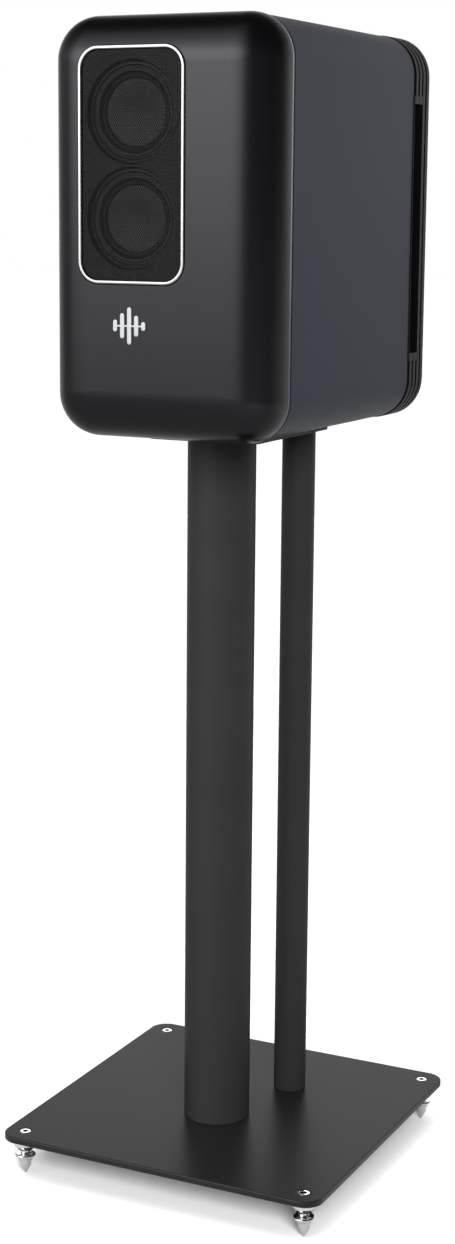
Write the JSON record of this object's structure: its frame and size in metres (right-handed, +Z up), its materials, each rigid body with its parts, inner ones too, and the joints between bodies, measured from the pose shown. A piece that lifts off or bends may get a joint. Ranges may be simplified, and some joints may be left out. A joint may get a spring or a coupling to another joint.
{
  "type": "loudspeaker on a floor stand",
  "caption": "Compact wireless loudspeaker with a rounded cabinet, an offset grille and ribbed rear outlets, bolted to a spiked floor stand with two posts.",
  "frame": {"origin": "middle of the bounding box, on the floor plane that the spike tips stand on", "axes": "+Z up; -Y is the front, where the grille is; +X is to the right as seen from the front"},
  "size_m": [0.26, 0.284, 0.845],
  "materials": {
    "satin_black": "satin, fine-grained moulded plastic",
    "side_graphite": "matt graphite wrap over the cabinet walls",
    "black_plastic": "matt black moulding",
    "rubber": "matt",
    "grille_black": "fine open weave",
    "cone_black": "matt composite",
    "silver_trim": "bright satin",
    "chrome": "polished",
    "stand_black": "satin black powder coat",
    "zinc_steel": "zinc plated",
    "ferrite": "matt grey ferrite with plated plates",
    "copper": "lacquered copper winding",
    "spider_cloth": "resin-stiffened cloth",
    "circuit_green": "solder mask",
    "heat_sink": "extruded",
    "wadding": "soft fibre",
    "led_white": "translucent"
  },
  "bodies": {
    "root": {"base_plate": "stand_black", "main_post": "stand_black", "rear_post": "stand_black", "top_plate": "stand_black", "main_post_lower_bolt": "zinc_steel", "main_post_upper_bolt": "zinc_steel", "rear_post_lower_bolt": "zinc_steel", "rear_post_upper_bolt": "zinc_steel", "front_baffle": "satin_black", "cabinet_sleeve": "side_graphite", "rear_frame": "black_plastic", "rear_cover": "black_plastic", "control_panel": "black_plastic", "grille_ring": "silver_trim", "grille_cloth": "grille_black", "grille_frame": "black_plastic", "badge": "silver_trim", "driver_pod": "black_plastic", "bass_baffle": "black_plastic", "bass_frame": "black_plastic", "bass_surround": "rubber", "bass_spider": "spider_cloth", "bass_magnet": "ferrite", "mains_inlet": "black_plastic", "switch_bezel": "black_plastic", "status_led": "led_white", "amplifier_board": "circuit_green", "heat_sink": "heat_sink", "power_supply_board": "circuit_green", "transformer": "copper", "input_board": "circuit_green", "wireless_module": "zinc_steel", "damping_pad": "wadding", "upper_driver_frame": "black_plastic", "upper_surround": "rubber", "upper_magnet": "zinc_steel", "lower_driver_frame": "black_plastic", "lower_surround": "rubber", "lower_magnet": "zinc_steel", "mount_screw_1": "zinc_steel", "mount_screw_2": "zinc_steel", "mount_screw_3": "zinc_steel", "mount_screw_4": "zinc_steel"},
    "upper_diaphragm": {"upper_diaphragm": "cone_black"},
    "lower_diaphragm": {"lower_diaphragm": "cone_black"},
    "bass_cone": {"bass_cone": "cone_black", "bass_dust_cap": "cone_black", "bass_voice_coil": "copper"},
    "power_rocker": {"power_rocker": "black_plastic"},
    "pairing_button": {"pairing_button": "satin_black"},
    "position_slider": {"position_slider": "satin_black"},
    "spike_front_left": {"spike_front_left": "chrome"},
    "lock_nut_front_left": {"lock_nut_front_left": "chrome"},
    "spike_front_right": {"spike_front_right": "chrome"},
    "lock_nut_front_right": {"lock_nut_front_right": "chrome"},
    "spike_rear_left": {"spike_rear_left": "chrome"},
    "lock_nut_rear_left": {"lock_nut_rear_left": "chrome"},
    "spike_rear_right": {"spike_rear_right": "chrome"},
    "lock_nut_rear_right": {"lock_nut_rear_right": "chrome"}
  },
  "joints": [
    {"name": "spike_front_left_height", "type": "slide", "parent": "root", "child": "spike_front_left", "axis": [0, 0, 1], "range_m": [-0.008, 0.003]},
    {"name": "lock_nut_front_left_turn", "type": "hinge", "parent": "root", "child": "lock_nut_front_left", "pos_m": [-0.115, -0.127, 0.024], "axis": [0, 0, 1], "range_deg": [0, 360]},
    {"name": "spike_front_right_height", "type": "slide", "parent": "root", "child": "spike_front_right", "axis": [0, 0, 1], "range_m": [-0.008, 0.003]},
    {"name": "lock_nut_front_right_turn", "type": "hinge", "parent": "root", "child": "lock_nut_front_right", "pos_m": [0.115, -0.127, 0.024], "axis": [0, 0, 1], "range_deg": [0, 360]},
    {"name": "spike_rear_left_height", "type": "slide", "parent": "root", "child": "spike_rear_left", "axis": [0, 0, 1], "range_m": [-0.008, 0.003]},
    {"name": "lock_nut_rear_left_turn", "type": "hinge", "parent": "root", "child": "lock_nut_rear_left", "pos_m": [-0.115, 0.103, 0.024], "axis": [0, 0, 1], "range_deg": [0, 360]},
    {"name": "spike_rear_right_height", "type": "slide", "parent": "root", "child": "spike_rear_right", "axis": [0, 0, 1], "range_m": [-0.008, 0.003]},
    {"name": "lock_nut_rear_right_turn", "type": "hinge", "parent": "root", "child": "lock_nut_rear_right", "pos_m": [0.115, 0.103, 0.024], "axis": [0, 0, 1], "range_deg": [0, 360]},
    {"name": "upper_diaphragm_travel", "type": "slide", "parent": "root", "child": "upper_diaphragm", "axis": [0, -1, 0], "range_m": [-0.0015, 0.0015], "stiffness_N_per_m": 2500, "deforming": ["upper_surround"]},
    {"name": "lower_diaphragm_travel", "type": "slide", "parent": "root", "child": "lower_diaphragm", "axis": [0, -1, 0], "range_m": [-0.0015, 0.0015], "stiffness_N_per_m": 2500, "deforming": ["lower_surround"]},
    {"name": "bass_cone_travel", "type": "slide", "parent": "root", "child": "bass_cone", "axis": [0, 1, 0], "range_m": [-0.005, 0.005], "stiffness_N_per_m": 2000, "deforming": ["bass_surround", "bass_spider"]},
    {"name": "power_rocker_tilt", "type": "hinge", "parent": "root", "child": "power_rocker", "pos_m": [-0.009, 0.127, 0.601], "axis": [1, 0, 0], "range_deg": [0, 14]},
    {"name": "pairing_button_press", "type": "slide", "parent": "root", "child": "pairing_button", "axis": [0, -1, 0], "range_m": [0, 0.0015], "stiffness_N_per_m": 500, "springref_m": -0.0005},
    {"name": "position_slider_move", "type": "slide", "parent": "root", "child": "position_slider", "axis": [1, 0, 0], "range_m": [-0.004, 0.004]}
  ]
}
